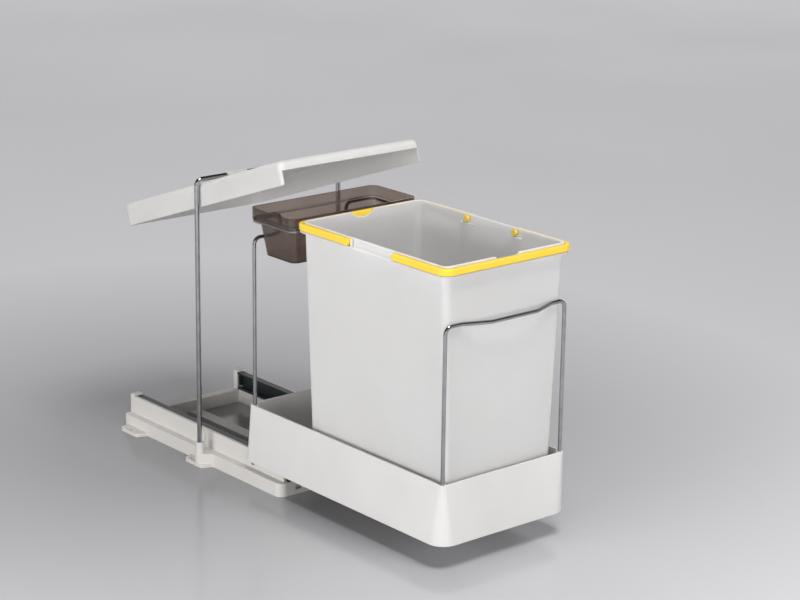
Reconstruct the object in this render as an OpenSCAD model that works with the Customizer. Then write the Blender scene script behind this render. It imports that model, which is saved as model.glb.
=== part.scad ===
// Pull-out bin frame for a kitchen cabinet, drawn fully out.
// Origin: centre of the four floor screws, on the floor. +X right, +Y to the rear, +Z up.

/* [Base] */
// Length of the base, front to rear
base_length = 392; // [372:1:430]
// Distance across the outer faces of the side walls
wall_span = 209; // [198:1:220]
// Thickness of the side walls
wall_t = 4.5; // [3.5:0.5:6]
// Height of the beams that lie on the floor
beam_h = 20; // [16:1:24]
// Width of the ledge outside each side wall
ledge_w = 11.5; // [9:0.5:14]
// Width of the front and rear crossbars
crossbar_w = 15; // [10:1:22]
// Width of the flat bar down the middle
centre_bar_w = 20; // [12:1:30]
// Thickness of the flat bar down the middle
centre_bar_t = 6; // [4:1:10]
// Radius of the base's front corners
base_front_r = 12; // [6:1:16]
// Radius of the base's rear corners
base_rear_r = 4; // [2:1:10]
// Thickness of the foot tabs
tab_t = 5; // [4:0.5:8]
// Distance between the front and rear floor screws
screw_pitch = 158; // [140:1:180]
// Diameter of the floor screw holes
screw_hole_d = 5; // [4:0.5:6]
// Distance from the rear floor screws to the base's rear end
screw_rear = 35; // [30:1:45]
// Outer diameter of the bosses that hold the lid frame
boss_d = 12.2; // [10:0.1:13]
// Height of the bosses above the ledge
boss_h = 16.5; // [12:0.5:24]
// Distance from the front floor screws to the bosses
screw_to_boss = 21; // [18:1:30]
// Length of the slots in the front crossbar's face
front_slot_l = 14; // [8:1:20]
// Height of the slots in the front crossbar's face
front_slot_h = 7; // [2:0.5:10]

/* [Slides] */
// How far the carrier runs
travel = 310; // [285:1:325]
// Height of the outer rails
rail_h = 27; // [25:0.5:32]
// Depth of the outer rails, across the part
rail_depth = 11; // [10:0.5:13]
// Thickness of the rails' steel
rail_gauge = 1.4; // [1:0.1:1.6]
// Diameter of the balls
ball_d = 4; // [3.5:0.1:4.5]
// Distance between neighbouring balls
ball_pitch = 11; // [8:0.5:14]
// Thickness of the ball cages' steel
cage_t = 0.8; // [0.6:0.1:0.9]
// Length of the posts that close the rails' rear ends
end_post_l = 10; // [8:1:16]
// Height of those posts above the side walls
end_post_rise = 2.5; // [1:0.5:4]
// Thickness of the rubber buffers
buffer_t = 3; // [2:0.5:5]
// Diameter of the rail screws' shanks
rail_screw_d = 3.4; // [3:0.1:4]

/* [Carrier] */
// Height of the carrier, skirt edge to rim
carrier_h = 84; // [76:1:96]
// Height of the skirt's edge above the base's ledge
skirt_lift = 13; // [9:0.5:16]
// Gap between the base's side walls and the skirt
skirt_gap = 7; // [5.5:0.5:9]
// Thickness of the carrier's walls
carrier_wall = 2.6; // [2:0.1:3.2]
// Thickness of the carrier's floor
carrier_floor_t = 3; // [2:0.5:4]
// How much wider the carrier is at its foot, each side
carrier_draft = 5.6; // [3:0.2:7]
// Corner radius at the carrier's rim
carrier_r = 7; // [6:0.5:8]
// Corner radius at the carrier's foot, at its front
carrier_foot_r = 24; // [13:1:28]
// Height of the ribs that hold the bin's foot in place
locator_h = 8; // [5:1:14]
// Length of those ribs
locator_l = 30; // [20:1:50]

/* [Bin] */
// Width over the bin's rim
bin_w = 210; // [196:1:218]
// Length over the bin's rim
bin_l = 296.5; // [280:0.5:312]
// Height of the bin
bin_h = 352.8; // [330:0.2:380]
// Thickness of the bin's walls
bin_wall = 1.6; // [1.4:0.1:2.2]
// How far each side of the bin draws in, rim to foot
bin_taper = 11; // [5:0.5:12]
// Height of the rim band above the flange
rim_band_h = 11.5; // [11:0.5:16]
// How far the rim band stands outside the bin's sides and rear
rim_step = 1; // [0.5:0.5:3]
// How far the rim band stands outside the bin's front
front_step = 2; // [0.5:0.5:4]
// Width of the flange outside the rim band
flange_w = 6; // [4:0.5:7]
// Thickness of the flange
flange_t = 2.5; // [2:0.5:4]
// Corner radius of the bin's rim
bin_r = 10; // [8:1:14]
// Width of the finger scoops in the rim
scoop_w = 42; // [30:1:60]
// Depth of the finger scoops
scoop_depth = 9; // [5:0.5:10]

/* [Handles] */
// Thickness of the bail handles
handle_t = 7; // [6:0.5:9]
// Height of the bail handles
handle_h = 9.5; // [8.5:0.5:10]
// Edge radius of the bail handles
handle_edge = 2; // [1:0.5:3]
// Distance from the rim's rear to the rear handle's pins
rear_pivot_in = 104; // [90:1:115]
// Distance from the rim's front to the front handle's pins
front_pivot_in = 95.5; // [85:0.5:110]
// Diameter of the handle pins
pin_d = 5; // [4:0.5:6]
// Diameter of the buttons on the pins
button_d = 8.4; // [7:0.2:9]

/* [Tray] */
// Width over the tray's collar
tray_w = 224; // [212:1:230]
// Length over the tray's collar
tray_l = 97; // [85:1:115]
// Depth of the tray, rim to underside
tray_depth = 65.5; // [55:0.5:80]
// Height of the collar
collar_h = 15.5; // [12:0.5:20]
// Width of the ledge under the collar
tray_ledge = 8; // [7.5:0.5:10]
// Thickness of the tray's walls
tray_wall = 2; // [1.6:0.1:2.6]
// How far the tray's rear wall leans in
tray_rear_lean = 12; // [6:1:18]
// How far the tray's side walls lean in
tray_side_lean = 3.5; // [2:0.5:6]
// Corner radius of the tray's collar
tray_r = 12; // [11:1:16]
// How far the tray's rim lies below the bin's rim
tray_drop = 0.5; // [0:0.1:2]

/* [Lid] */
// Depth of the lid's skirt
lid_depth = 33; // [28:1:38]
// Thickness of the lid's walls
lid_wall = 2; // [1.6:0.1:2.6]
// How far the closed lid stops short of the bin's front rim
lid_short = 4; // [0:0.5:12]
// How far the level lid reaches past the base's rear end
lid_overhang = 1; // [0:1:12]
// Depth of the lip along the lid's front
lip_h = 13.5; // [10:0.5:15]
// Tilt of the lid, front up
lid_tilt = 19.5; // [15:0.5:21]
// Height of the hinge above the lid's top
hinge_rise = 5; // [5:0.5:10]
// Radius of the lid's top edges
lid_edge = 8; // [5:0.5:10]
// Wall of the sleeves round the crossbar
sleeve_wall = 1.5; // [1.2:0.1:2.4]
// Width of the middle sleeve
mid_sleeve_w = 19; // [12:1:26]
// Width of the outer sleeves
side_sleeve_w = 34; // [24:1:40]
// Distance between the outer sleeves
sleeve_gap = 83; // [70:1:100]

/* [Wire] */
// Diameter of the lid frame's rod
frame_rod_d = 7; // [6:0.5:8]
// Bend radius of the lid frame
frame_bend = 8; // [8:1:14]
// Diameter of the hoops' wire
hoop_d = 5.5; // [5:0.1:6]
// Height of the front hoop above the carrier's rim
front_hoop_h = 211; // [190:1:230]
// How far the front grip bows out
grip_bow = 15; // [8:1:20]
// Width of the grip's straight middle
grip_w = 80; // [60:1:100]
// Length of the grip's slanted shoulders, along X
grip_shoulder = 39; // [25:1:42]
// Height of the rear hoop's jog below the tray's collar
jog_h = 27; // [24:1:40]
// Width between the rear hoop's jogs
jog_span = 116; // [100:1:130]
// Bend radius of the hoops
hoop_bend = 10; // [8:0.5:11]

/* [Hidden] */

$fn = 48;
hull_fn = 32;
cut = 1;

// Named clearances
play = 0.2;
slide_fit = 0.3;
pin_fit = 0.06;
socket_fit = 0.05;
seat_gap = 0.25;
cage_gap = 0.5;
lip_gap = 0.6;
hoop_gap = 0.4;
rib_gap = 1;
locator_gap = 1.3;
over_post = 1.5;
handle_gap = 0.5;
handle_to_tray = 5.5;
lid_side_gap = 7.5;
lid_headroom_spare = 1.7;
lip_over_rim = 1.5;
upright_gap = 1.5;
rail_end_gap = 2;

// Fixed proportions
sheet_t = 0.01;
tab_r = 7;
tab_half = 16;
tab_reach = 27;
tab_edge = 3.5;
mid_tab_shift = 11;
boss_pad_grow = 1;
boss_pad_half = 1;
boss_pad_root = 18;
wall_rib_in = 15;
wall_rib_t = 5;
wall_rib_out = 4.5;
wall_rib_drop = 1;
rib_t = 4;
rail_screw_head_t = 1.8;
screw_inset = 20;
socket_wall = 1.7;
socket_edge = 2.25;
leg_rise = 18;
tray_set_in = 7;
ring_set_in = 1.5;
button_t = 5;
pin_skin = 2;
lid_foot_r = 7;

// Base
wall_out = wall_span / 2;
wall_in = wall_out - wall_t;
beam_out = wall_out + ledge_w;
beam_in = wall_in - rail_depth - rib_gap;
wall_top = beam_h + rail_h;
post_top = wall_top + end_post_rise;
screw_y = screw_pitch / 2;
base_rear = screw_y + screw_rear;
base_front = base_rear - base_length;
upright_y = -screw_y - screw_to_boss;

// Slides
rail_rear = base_rear - end_post_l;
rail_front = base_front + rail_end_gap;
rail_l = rail_rear - rail_front;
inner_rear = rail_rear - buffer_t - slide_fit - travel;
cage_l = inner_rear - rail_front - 2 * rail_end_gap;
cage_front = rail_front + rail_end_gap;
ball_count = floor((cage_l - 1.5 * ball_d) / ball_pitch) + 1;
ball_step = ball_d / 2 + play;
upper_ball_z = wall_top - rail_gauge - ball_step;
lower_ball_z = beam_h + rail_gauge + ball_step;
ball_x = wall_in - rail_depth / 2;
inner_top = upper_ball_z - ball_step;
inner_bottom = lower_ball_z + ball_step;
inner_mid = (inner_top + inner_bottom) / 2;
web_x = wall_in - rail_gauge;
cage_out = web_x - cage_gap;
cage_in = ball_x - 0.7 * ball_d;
inner_out = cage_out - cage_t - slide_fit;
inner_web = wall_in - rail_depth + rail_gauge + lip_gap;
rib_out = beam_in;
rail_screw_head_d = 2 * rail_screw_d;
outer_screw_ys = [rail_front + 0.2 * rail_l, upright_y + wall_rib_in + screw_inset / 2];
outer_screw_z = beam_h + 0.3 * rail_h;

// Carrier
carrier_z0 = beam_h + skirt_lift;
carrier_top = carrier_z0 + carrier_h;
floor_z0 = post_top + over_post;
floor_top = floor_z0 + carrier_floor_t;
foot_half = wall_out + skirt_gap + carrier_wall;
rim_half = foot_half - carrier_draft;
carrier_rear = base_rear - travel;
tray_rear = carrier_rear - tray_set_in;
tray_front = tray_rear - tray_l;
bin_rear = tray_front - handle_gap - handle_t - handle_to_tray;
bin_front = bin_rear - bin_l;
bin_z0 = floor_top + play;
bin_top = bin_z0 + bin_h;
flange_top = bin_top - rim_band_h;
flange_z0 = flange_top - flange_t;
front_hoop_z = carrier_top + front_hoop_h;
hoop_lean = bin_taper / 2 * (flange_top - front_hoop_z) / (flange_top - bin_z0);
front_leg_y = bin_front + front_step + hoop_lean - hoop_gap - hoop_d / 2;
carrier_front = front_leg_y - hoop_d / 2 - socket_edge;
leg_x = rim_half - hoop_d / 2 - socket_wall;
leg_z = floor_top + leg_rise;

// Inner rails: as long as the outer rails and the carrier allow
inner_front = max(inner_rear - rail_l + buffer_t + rail_end_gap, carrier_front + carrier_wall + rail_end_gap);
inner_l = inner_rear - inner_front;
inner_screw_ys = [inner_front + screw_inset, (inner_front + inner_rear) / 2, inner_rear - screw_inset];

// Bin's foot
foot_x = bin_w / 2 - rim_step - bin_taper;
foot_front = bin_front + front_step + bin_taper / 2;
foot_rear = bin_rear - rim_step - bin_taper / 2;

// Handles
handle_z0 = flange_top + handle_gap;
pivot_z = handle_z0 + handle_h / 2;
handle_in = bin_w / 2 + handle_gap;
handle_out = handle_in + handle_t;
pin_end = handle_out - pin_skin;
rear_pivot_y = bin_rear - rear_pivot_in;
front_pivot_y = bin_front + front_pivot_in;

// Tray
tray_top = bin_top - tray_drop;
collar_z0 = tray_top - collar_h;
tray_z0 = tray_top - tray_depth;
ring_z = collar_z0 - seat_gap - hoop_d / 2;
ring_x = tray_w / 2 - tray_ledge / 2;
ring_rear = tray_rear - ring_set_in;
ring_front = tray_front + tray_ledge / 2;

// Lid: the tray's rear edge passes under the lid while it is still tilted, so the headroom comes from
// the widest dip of the lid below its hinge over the carrier's travel
tray_to_hinge = upright_y - tray_rear;
lid_dip = lid_tilt * PI / 180 * (travel - tray_to_hinge) ^ 2 / (4 * travel);
lip_need = tray_drop + lip_over_rim + lip_h - lid_wall;
lid_headroom = max(ceil(10 * lid_dip) / 10 + lid_headroom_spare, lip_need);
hinge_z = tray_top + lid_headroom + lid_wall + hinge_rise;
lid_front = upright_y - bin_front - travel - lid_short;
lid_rear = base_rear + lid_overhang - upright_y;
lid_half = max(handle_out, tray_w / 2) + lid_side_gap + lid_wall;
sleeve_r = frame_rod_d / 2 + pin_fit + sleeve_wall;

// Lid frame and hoops
upright_x = max(lid_half, foot_half) + upright_gap + frame_rod_d / 2;
screw_x = upright_x;
tab_out = screw_x + screw_hole_d / 2 + tab_edge;
socket_z = tab_t;

// Flat outline: rectangle with true round corners, r at its low Y end and far_r at its high Y end
module rounded(x0, x1, y0, y1, r, far_r = 0) {
    r1 = far_r > 0 ? far_r : r;
    translate([x0, y0 + r]) square([x1 - x0, y1 - y0 - r - r1]);
    translate([x0 + r, y0]) square([x1 - x0 - 2 * r, r]);
    translate([x0 + r1, y1 - r1]) square([x1 - x0 - 2 * r1, r1]);
    for (x = [x0 + r, x1 - r]) {
        translate([x, y0 + r]) circle(r = r);
    }
    for (x = [x0 + r1, x1 - r1]) {
        translate([x, y1 - r1]) circle(r = r1);
    }
}

// Thin rounded sheet that serves as one end of a tapered body
module sheet(half, y0, y1, r, z, far_r = 0) {
    translate([0, 0, z]) linear_extrude(sheet_t) rounded(-half, half, y0, y1, r, far_r, $fn = hull_fn);
}

module at_both_sides() {
    children();
    mirror([1, 0, 0]) children();
}

// Bar of one cross-section that runs along Y
module along_y(y0, y1) {
    translate([0, y1, 0]) rotate([90, 0, 0]) linear_extrude(y1 - y0) children();
}

module rod_x(x0, x1, y, z, d) {
    translate([x0, y, z]) rotate([0, 90, 0]) cylinder(d = d, h = x1 - x0);
}

// Rod through a list of points: a round bend at each square corner, a ball at each slanted one
function unit(v) = v / norm(v);
function turn(p, i) = unit(p[i] - p[i - 1]) * unit(p[i + 1] - p[i]);
function is_square(p, i) = i > 0 && i < len(p) - 1 && abs(turn(p, i)) < 0.01;

module aligned(place, along) {
    w = unit(along);
    u = unit(cross(abs(w.z) > 0.9 ? [1, 0, 0] : [0, 0, 1], w));
    v = cross(w, u);
    multmatrix([
        [u.x, v.x, w.x, place.x],
        [u.y, v.y, w.y, place.y],
        [u.z, v.z, w.z, place.z],
        [0, 0, 0, 1],
    ]) children();
}

module elbow(before, corner, after, bend, d) {
    in = unit(corner - before);
    out = unit(after - corner);
    centre = corner + (out - in) * bend;
    w = cross(-out, in);
    multmatrix([
        [-out.x, in.x, w.x, centre.x],
        [-out.y, in.y, w.y, centre.y],
        [-out.z, in.z, w.z, centre.z],
        [0, 0, 0, 1],
    ]) rotate_extrude(angle = 90) translate([bend, 0]) circle(d = d);
}

module bent_rod(p, bend, d) {
    for (i = [0 : len(p) - 2]) {
        w = unit(p[i + 1] - p[i]);
        start = p[i] + w * (is_square(p, i) ? bend : 0);
        end = p[i + 1] - w * (is_square(p, i + 1) ? bend : 0);
        aligned(start, w) cylinder(d = d, h = norm(end - start));
    }
    for (i = [1 : len(p) - 2]) {
        if (is_square(p, i)) {
            elbow(p[i - 1], p[i], p[i + 1], bend, d);
        } else {
            aligned(p[i], unit(p[i] - p[i - 1]) + unit(p[i + 1] - p[i])) sphere(d = d + play);
        }
    }
}

function mirrored(p) = [for (i = [len(p) - 1 : -1 : 0]) [-p[i].x, p[i].y, p[i].z]];

// Base frame
module foot_tab(y) {
    linear_extrude(tab_t) hull() {
        for (dy = [-tab_half, tab_half]) {
            translate([tab_out - tab_r, y + dy]) circle(r = tab_r, $fn = hull_fn);
        }
        translate([beam_out - cut, y - tab_reach]) square([cut, 2 * tab_reach]);
    }
}

module boss_pad() {
    linear_extrude(beam_h) hull() {
        for (dy = [-boss_pad_half, boss_pad_half]) {
            translate([upright_x, upright_y + dy]) circle(d = boss_d + boss_pad_grow, $fn = hull_fn);
        }
        translate([beam_out - cut, upright_y - boss_pad_root]) square([cut, 2 * boss_pad_root]);
    }
}

module base_side() {
    translate([wall_in, base_front + base_front_r / 2, 0])
        cube([wall_t, base_length - base_front_r / 2, wall_top]);
    translate([wall_in - rail_depth, rail_rear, beam_h - cut])
        cube([rail_depth + wall_t, end_post_l, post_top - beam_h + cut]);
    foot_tab(screw_y);
    foot_tab(-screw_y - mid_tab_shift);
    boss_pad();
    translate([upright_x, upright_y, 0]) cylinder(d = boss_d, h = beam_h + boss_h);
    translate([wall_in, upright_y + wall_rib_in, 0])
        cube([wall_t + wall_rib_out, wall_rib_t, wall_top - wall_rib_drop]);
}

module rail_screw_spots(ys) {
    for (y = ys) {
        translate([0, y, 0]) children();
    }
}

module base_frame() {
    color("#e9e6df") difference() {
        union() {
            linear_extrude(beam_h) difference() {
                rounded(-beam_out, beam_out, base_front, base_rear, base_front_r, base_rear_r);
                translate([-beam_in, base_front + crossbar_w])
                    square([2 * beam_in, base_length - 2 * crossbar_w]);
            }
            translate([-centre_bar_w / 2, base_front + crossbar_w - cut, 0])
                cube([centre_bar_w, base_length - 2 * crossbar_w + 2 * cut, centre_bar_t]);
            at_both_sides() base_side();
        }
        at_both_sides() {
            for (y = [-screw_y, screw_y]) {
                translate([screw_x, y, -cut]) cylinder(d = screw_hole_d, h = beam_h);
            }
            translate([upright_x, upright_y, socket_z])
                cylinder(d = frame_rod_d + 2 * socket_fit, h = beam_h + boss_h);
            rail_screw_spots(outer_screw_ys)
                rod_x(wall_in - cut, wall_out + cut, 0, outer_screw_z, rail_screw_d);
            translate([beam_in - front_slot_l, base_front - cut, (beam_h - front_slot_h) / 2])
                cube([front_slot_l, crossbar_w / 2 + cut, front_slot_h]);
        }
    }
}

// Slides, drawn for the right side
module outer_rail_section() {
    translate([web_x, beam_h]) square([rail_gauge, rail_h]);
    for (z = [beam_h, wall_top - rail_gauge]) {
        translate([wall_in - rail_depth, z]) square([rail_depth, rail_gauge]);
    }
    for (z = [beam_h, wall_top - rail_gauge - ball_step]) {
        translate([wall_in - rail_depth, z]) square([rail_gauge, rail_gauge + ball_step]);
    }
}

module outer_rail() {
    color("#27312f") difference() {
        along_y(rail_front, rail_rear) outer_rail_section();
        rail_screw_spots(outer_screw_ys)
            rod_x(web_x - cut, wall_in + cut, 0, outer_screw_z, rail_screw_d);
    }
}

module rail_screws() {
    color("silver") rail_screw_spots(outer_screw_ys) {
        rod_x(web_x, wall_out, 0, outer_screw_z, rail_screw_d);
        rod_x(wall_out, wall_out + rail_screw_head_t, 0, outer_screw_z, rail_screw_head_d);
    }
}

module rail_buffer() {
    color("#1c1c1c") translate([inner_web, rail_rear - buffer_t, inner_bottom])
        cube([web_x - inner_web - play, buffer_t, inner_top - inner_bottom]);
}

module inner_rail_section() {
    translate([inner_web, inner_bottom]) square([rail_gauge, inner_top - inner_bottom]);
    for (z = [inner_bottom, inner_top - rail_gauge]) {
        translate([inner_web, z]) square([inner_out - inner_web, rail_gauge]);
    }
}

module inner_rail() {
    color("#9aa09e") difference() {
        along_y(inner_front, inner_rear) inner_rail_section();
        rail_screw_spots(inner_screw_ys)
            rod_x(inner_web - cut, inner_web + rail_gauge + cut, 0, inner_mid, rail_screw_d);
    }
}

module inner_rail_screws() {
    color("silver") rail_screw_spots(inner_screw_ys) {
        rod_x(rib_out - rib_t, inner_web + rail_gauge, 0, inner_mid, rail_screw_d);
        rod_x(rib_out - rib_t - rail_screw_head_t, rib_out - rib_t, 0, inner_mid, rail_screw_head_d);
    }
}

module at_balls() {
    first_y = cage_front + (cage_l - (ball_count - 1) * ball_pitch) / 2;
    for (i = [0 : ball_count - 1], z = [lower_ball_z, upper_ball_z]) {
        translate([ball_x, first_y + i * ball_pitch, z]) children();
    }
}

module ball_cage() {
    color("#8c9190") difference() {
        along_y(cage_front, cage_front + cage_l) {
            translate([cage_out - cage_t, lower_ball_z - cage_t / 2])
                square([cage_t, upper_ball_z - lower_ball_z + cage_t]);
            for (z = [lower_ball_z, upper_ball_z]) {
                translate([cage_in, z - cage_t / 2]) square([cage_out - cage_in, cage_t]);
            }
        }
        at_balls() translate([0, 0, -cut]) cylinder(d = ball_d + play, h = 2 * cut);
    }
}

module balls() {
    color("silver") at_balls() sphere(d = ball_d);
}

// Carrier
module carrier_body(inset, z0, z1) {
    hull() {
        for (z = [z0, z1]) {
            down = (carrier_top - z) / carrier_h;
            grow = carrier_draft * down;
            front_r = carrier_r + (carrier_foot_r - carrier_r) * down - inset / 2;
            sheet(rim_half + grow - inset, carrier_front - grow + inset, carrier_rear + grow - inset,
                front_r, z, carrier_r + grow - inset / 2);
        }
    }
}

module rail_rib() {
    translate([rib_out - rib_t, inner_front, inner_bottom])
        cube([rib_t, inner_l, floor_z0 - inner_bottom + cut]);
    translate([rib_out - cut, inner_front, inner_bottom + rail_gauge])
        cube([inner_web - rib_out + cut, inner_l, inner_top - inner_bottom - 2 * rail_gauge]);
}

module hoop_sockets(y) {
    for (x = [-leg_x, leg_x]) {
        translate([x, y, 0]) children();
    }
}

module bin_locators() {
    for (y = [foot_front + 2 * locator_l, foot_rear - 3 * locator_l]) {
        translate([foot_x + locator_gap, y, floor_top - cut])
            cube([carrier_wall, locator_l, locator_h + cut]);
    }
    translate([foot_x - 2 * locator_l, foot_rear + locator_gap, floor_top - cut])
        cube([locator_l, carrier_wall, locator_h + cut]);
}

module carrier() {
    socket_d = hoop_d + 2 * socket_fit;
    color("#e6e7e5") difference() {
        union() {
            difference() {
                carrier_body(0, carrier_z0, carrier_top);
                carrier_body(carrier_wall, floor_top, carrier_top + cut);
                carrier_body(carrier_wall, carrier_z0 - cut, floor_z0);
                translate([-wall_out - skirt_gap, carrier_rear - 2 * carrier_wall, carrier_z0 - cut])
                    cube([2 * (wall_out + skirt_gap), 8 * carrier_wall, floor_z0 - carrier_z0 + cut]);
            }
            for (y = [front_leg_y, ring_rear]) {
                hoop_sockets(y) translate([0, 0, floor_top - cut])
                    cylinder(d = hoop_d + 2 * socket_wall, h = carrier_top - floor_top + cut);
            }
            at_both_sides() {
                rail_rib();
                bin_locators();
            }
        }
        for (y = [front_leg_y, ring_rear]) {
            hoop_sockets(y) translate([0, 0, leg_z - play]) cylinder(d = socket_d, h = carrier_h);
        }
        at_both_sides() rail_screw_spots(inner_screw_ys)
            rod_x(rib_out - rib_t - cut, inner_web + cut, 0, inner_mid, rail_screw_d);
    }
}

// Hoops
module front_hoop() {
    y = front_leg_y;
    half = [
        [leg_x, y, leg_z],
        [leg_x, y, front_hoop_z],
        [grip_w / 2 + grip_shoulder, y, front_hoop_z],
        [grip_w / 2, y - grip_bow, front_hoop_z],
    ];
    color("#c9cccd") bent_rod(concat(half, mirrored(half)), hoop_bend, hoop_d);
}

module rear_hoop() {
    half = [
        [leg_x, ring_rear, leg_z],
        [leg_x, ring_rear, ring_z - jog_h],
        [jog_span / 2, ring_rear, ring_z - jog_h],
        [jog_span / 2, ring_rear, ring_z],
        [ring_x, ring_rear, ring_z],
        [ring_x, ring_front, ring_z],
    ];
    color("#c9cccd") bent_rod(concat(half, mirrored(half)), hoop_bend, hoop_d);
}

// Bin
module bin_body(inset, z0, z1) {
    hull() {
        for (z = [z0, z1]) {
            t = bin_taper * (flange_top - z) / (flange_top - bin_z0);
            sheet(bin_w / 2 - rim_step - t - inset, bin_front + front_step + t / 2 + inset,
                bin_rear - rim_step - t / 2 - inset, bin_r - inset, z);
        }
    }
}

module rim_outline(grow) {
    rounded(-bin_w / 2 - grow, bin_w / 2 + grow, bin_front - grow, bin_rear + grow, bin_r + grow);
}

module finger_scoop() {
    r = (scoop_w ^ 2 / 4 + scoop_depth ^ 2) / (2 * scoop_depth);
    translate([0, 0, bin_top - scoop_depth + r]) rotate([90, 0, 0])
        cylinder(r = r, h = 2 * (max(rim_step, front_step) + bin_wall + cut), center = true);
}

module bin() {
    color("#dfe1e1") difference() {
        union() {
            bin_body(0, bin_z0, flange_z0 + flange_t / 2);
            translate([0, 0, flange_z0]) linear_extrude(flange_t) rim_outline(flange_w);
            translate([0, 0, flange_top - cut]) linear_extrude(rim_band_h + cut) rim_outline(0);
        }
        bin_body(bin_wall, bin_z0 + bin_wall, bin_top + cut);
        for (y = [front_pivot_y, rear_pivot_y]) {
            rod_x(-bin_w, bin_w, y, pivot_z, pin_d + 2 * pin_fit);
        }
        for (y = [bin_front, bin_rear]) {
            translate([0, y, 0]) finger_scoop();
        }
    }
}

// Bail handles: a bar with rounded edges round one end of the rim. way is 1 for the rear, -1 for the front
module handle_section() {
    translate([-handle_t / 2, -handle_h / 2]) rounded(0, handle_t, 0, handle_h, handle_edge);
}

module bail(pivot_y, end_y, way) {
    mid = handle_in + handle_t / 2;
    corner = bin_r + handle_gap + handle_t / 2;
    grip_y = end_y + way * (handle_gap + handle_t / 2);
    arm_l = abs(grip_y - pivot_y) - corner;
    difference() {
        translate([0, pivot_y, pivot_z]) facing(way) {
            at_both_sides() {
                translate([mid, arm_l, 0]) rotate([90, 0, 0]) linear_extrude(arm_l) handle_section();
                translate([mid - corner, arm_l, 0]) rotate_extrude(angle = 90)
                    translate([corner, 0]) handle_section();
                rod_x(handle_in, handle_out, 0, 0, handle_h);
            }
            translate([-(mid - corner), arm_l + corner, 0]) rotate([90, 0, 90])
                linear_extrude(2 * (mid - corner)) handle_section();
        }
        at_both_sides() rod_x(handle_in - cut, pin_end, pivot_y, pivot_z, pin_d);
    }
}

module facing(way) {
    if (way < 0) {
        mirror([0, 1, 0]) children();
    } else {
        children();
    }
}

module handle_pins(pivot_y) {
    button_in = bin_w / 2 - rim_step - bin_wall - slide_fit;
    color("#f2bd1c") at_both_sides() {
        rod_x(button_in - button_t / 2, pin_end, pivot_y, pivot_z, pin_d);
        rod_x(button_in - button_t, button_in, pivot_y, pivot_z, button_d);
    }
}

module front_handle() {
    color("#f2bd1c") bail(front_pivot_y, bin_front, -1);
}

module rear_handle() {
    color("#f2bd1c") bail(rear_pivot_y, bin_rear, 1);
}

// Tray
module tray_body(inset, z0, z1) {
    body_half = tray_w / 2 - tray_ledge;
    hull() {
        for (z = [z0, z1]) {
            lean = (collar_z0 - z) / (tray_depth - collar_h);
            y0 = tray_front + tray_ledge + tray_wall * lean + inset;
            y1 = tray_rear - tray_ledge - tray_rear_lean * lean - inset;
            sheet(body_half - tray_side_lean * lean - inset, y0, y1, tray_r - tray_wall - inset, z);
        }
    }
}

module tray() {
    color([0.32, 0.27, 0.24, 0.75]) difference() {
        union() {
            tray_body(0, tray_z0, collar_z0 + tray_wall / 2);
            translate([0, 0, collar_z0]) linear_extrude(collar_h)
                rounded(-tray_w / 2, tray_w / 2, tray_front, tray_rear, tray_r);
        }
        tray_body(tray_wall, tray_z0 + tray_wall, collar_z0 + tray_wall + cut / 2);
        translate([0, 0, collar_z0 + tray_wall]) linear_extrude(collar_h)
            rounded(-tray_w / 2 + tray_wall, tray_w / 2 - tray_wall, tray_front + tray_wall,
                tray_rear - tray_wall, tray_r - tray_wall);
    }
}

// Lid frame
module lid_frame() {
    half = [
        [upright_x, upright_y, socket_z + play],
        [upright_x, upright_y, hinge_z],
    ];
    color("#c9cccd") bent_rod(concat(half, mirrored(half)), frame_bend, frame_rod_d);
}

// Lid, drawn level about its hinge
module domed_post(r, z0, z1, edge) {
    steps = 5;
    translate([0, 0, z0]) cylinder(r = r, h = z1 - edge - z0, $fn = hull_fn);
    for (i = [0 : steps - 1]) {
        a = 90 * i / steps;
        b = 90 * (i + 1) / steps;
        translate([0, 0, z1 - edge + edge * sin(a)])
            cylinder(r1 = r - edge + edge * cos(a), r2 = r - edge + edge * cos(b),
                h = edge * (sin(b) - sin(a)), $fn = hull_fn);
    }
}

module soft_box(half, y0, y1, z0, z1, front_r, rear_r, edge) {
    hull() {
        for (side = [-1, 1]) {
            translate([side * (half - front_r), y0 + front_r, 0]) domed_post(front_r, z0, z1, edge);
            translate([side * (half - rear_r), y1 - rear_r, 0]) domed_post(rear_r, z0, z1, edge);
        }
    }
}

module lid_sleeve(x0, w, top) {
    rod_x(x0, x0 + w, 0, 0, 2 * sleeve_r);
    translate([x0, -sleeve_r, top - lid_wall / 2]) cube([w, 2 * sleeve_r, -top + lid_wall / 2]);
}

module lid() {
    top = -hinge_rise;
    bottom = top - lid_depth;
    front_r = lid_edge + 1;
    rear_r = lid_edge + 8;
    lip_half = lid_half - front_r / 3;
    color("#eceded") translate([0, upright_y, hinge_z]) rotate([-lid_tilt, 0, 0]) difference() {
        union() {
            difference() {
                soft_box(lid_half, -lid_front, lid_rear, bottom, top, front_r, rear_r, lid_edge);
                soft_box(lid_half - lid_wall, -lid_front + lid_wall, lid_rear - lid_wall, bottom - cut,
                    top - lid_wall, front_r - lid_wall, rear_r - lid_wall, lid_edge - lid_wall);
                translate([-lip_half, -lid_front - cut, bottom - cut])
                    cube([2 * lip_half, front_r + cut, lid_depth - lip_h + cut]);
            }
            lid_sleeve(-mid_sleeve_w / 2, mid_sleeve_w, top);
            at_both_sides() lid_sleeve(sleeve_gap / 2, side_sleeve_w, top);
        }
        rod_x(-lid_half, lid_half, 0, 0, frame_rod_d + 2 * pin_fit);
        difference() {
            translate([-lid_half - cut, -lid_front - cut, bottom - cut])
                cube([2 * (lid_half + cut), lid_foot_r + cut, lid_foot_r + cut]);
            rod_x(-lid_half - 2 * cut, lid_half + 2 * cut, -lid_front + lid_foot_r, bottom + lid_foot_r,
                2 * lid_foot_r);
        }
    }
}

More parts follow.
